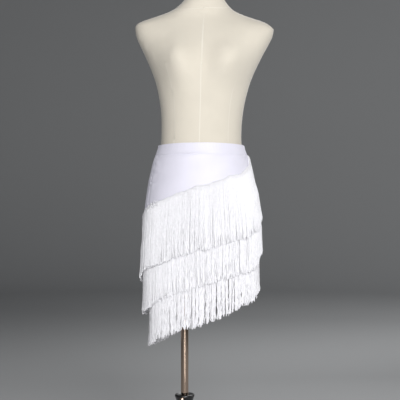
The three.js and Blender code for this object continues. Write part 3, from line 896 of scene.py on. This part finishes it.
def cords(name, paths, radius, sides, closed=False):
    """Returns a mesh of round cords along rows of points."""
    curve = bpy.data.curves.new(name, "CURVE")
    curve.dimensions = "3D"
    curve.bevel_depth = radius
    curve.bevel_resolution = sides
    curve.use_fill_caps = not closed
    for path in paths:
        spline = curve.splines.new("POLY")
        spline.points.add(len(path) - 1)
        spline.points.foreach_set("co", np.c_[path, np.ones(len(path))].ravel())
        spline.use_cyclic_u = closed
    holder = link(name, curve)
    solid = holder.evaluated_get(bpy.context.evaluated_depsgraph_get())
    mesh = bpy.data.meshes.new_from_object(solid)
    bpy.data.objects.remove(holder)
    bpy.data.curves.remove(curve)
    return mesh


def chainette():
    """Soft cord whose chain stitches show as fine bumps."""
    material, tree, shader = new_material(
        "white_chainette", CORD_WHITE, 0.42, Sheen_Weight=0.15, Sheen_Roughness=0.3)
    place = add_node(tree, "TexCoord")
    stitches = add_node(tree, "TexWave", Scale=190, Distortion=3, Detail=2, Detail_Scale=3)
    stitches.bands_direction = "Z"
    bump = add_node(tree, "Bump", Strength=0.45, Distance=0.0003)
    cloud = add_node(tree, "TexNoise", Scale=160, Detail=2)
    tone = toned(tree, CORD_WHITE, 0.93, 1, lighter_from=0.65)
    join(
        tree, (place, "Object", stitches, "Vector"), (place, "Object", cloud, "Vector"),
        (stitches, "Fac", bump, "Height"), (bump, "Normal", shader, "Normal"),
        (cloud, "Fac", tone, "Fac"), (tone, "Color", shader, "Base Color"))
    return material


def finish_mesh(name, meshes, material, body, nodes=()):
    """Makes one piece of several meshes."""
    bm = bmesh.new()
    for mesh in meshes:
        bm.from_mesh(mesh)
        bpy.data.meshes.remove(mesh)
    return finish_piece(name, bm, material, body, nodes)


def header_tape(tier):
    """The narrow tape behind the roots of a tier's cords."""
    def place(u, v):
        turn = 360 * u
        height = header_height(turn, ROWS[tier["row"]]) - TAPE_BELOW - HEADER_TALL * (1 - v)
        return on_skirt(turn, height + uneven(turn, tier["seed"]), HEADER_OFF + HEADER_THICK)
    return mapped_grid(360, 4, place, close=True)


def header_stitching(tier):
    """Two zigzag rows of sewing thread over the cords."""
    turns = np.linspace(0, 360, ROUND_POINTS, endpoint=False)
    swing = np.radians(turns) * STITCHES
    edge = header_height(turns, ROWS[tier["row"]]) + uneven(turns, tier["seed"])
    zigzag = STITCH_TALL * np.sign(np.sin(swing))
    out = STITCH_OUT + STITCH_DEEP * np.cos(swing)
    return [on_skirt(turns, edge - below + zigzag, out) for below in STITCHED_BELOW]


def header_edge(tier):
    """The row of small knit loops on the upper edge, which the cords hang from."""
    turns = np.linspace(0, 360, ROUND_POINTS, endpoint=False)
    swing = np.radians(turns) * HEADER_LOOPS
    edge = header_height(turns, ROWS[tier["row"]]) + uneven(turns, tier["seed"])
    height = edge + HEADER_LOOP_TALL * np.cos(swing)
    out = HEADER_LOOP_OUT + HEADER_LOOP_DEEP * np.sin(swing)
    return [on_skirt(turns + HEADER_LOOP_WIDE * np.sin(swing), height, out)]


LOOSE_LOOPS = 26
LOOSE_FROM = 201
LOOSE_TO = 223
LOOSE_POINTS = 14
LOOSE_OUT = 0.0040
LOOSE_DEEP = 0.0016
LOOSE_RADIUS = 0.0008


def loose_loops(rng):
    """Snagged loops of cord over the upper row, by the right side seam."""
    paths = []
    for _ in range(LOOSE_LOOPS):
        start = rng.uniform(LOOSE_FROM, LOOSE_TO)
        below = rng.uniform(-0.001, 0.014)
        wide = rng.uniform(1.2, 2.6)
        tall = rng.uniform(0.0015, 0.0045)
        t = np.linspace(0, 1, LOOSE_POINTS)
        arch = np.sin(math.pi * t * rng.uniform(1.0, 1.9))
        turn = start + wide * (t - 0.3 * np.sin(2 * math.pi * t))
        height = header_height(turn, ROWS[0]) - below + tall * arch
        paths.append(on_skirt(turn, height, LOOSE_OUT + LOOSE_DEEP * np.sin(math.pi * t)))
    return paths


white = chainette()
for tier in TIERS:
    rng = np.random.default_rng(tier["seed"])
    clumps = clumps_of(tier, rng)
    layers = []
    for layer in LAYERS:
        paths = cord_paths(tier, layer, clumps, rng)
        layers.append(cords(tier["name"] + "_layer", paths, CORD_RADIUS, layer["sides"]))
    finish_mesh(tier["name"] + "_cords", layers, white, "form", [tier["name"]])
    tape = finish_piece(
        tier["name"] + "_header", header_tape(tier), white, "form")
    thicken(tape, HEADER_THICK, 0.0003)
    stitches = cords(
        tier["name"] + "_stitch", header_stitching(tier), THREAD_RADIUS, 0, closed=True)
    edge = cords(
        tier["name"] + "_edge", header_edge(tier), HEADER_LOOP_RADIUS, 0, closed=True)
    finish_mesh(tier["name"] + "_stitching", [stitches, edge], white, "form")
loops = cords("loose_loop", loose_loops(np.random.default_rng(5)), LOOSE_RADIUS, 1)
finish_mesh("fringe_top_loose_loops", [loops], white, "form")
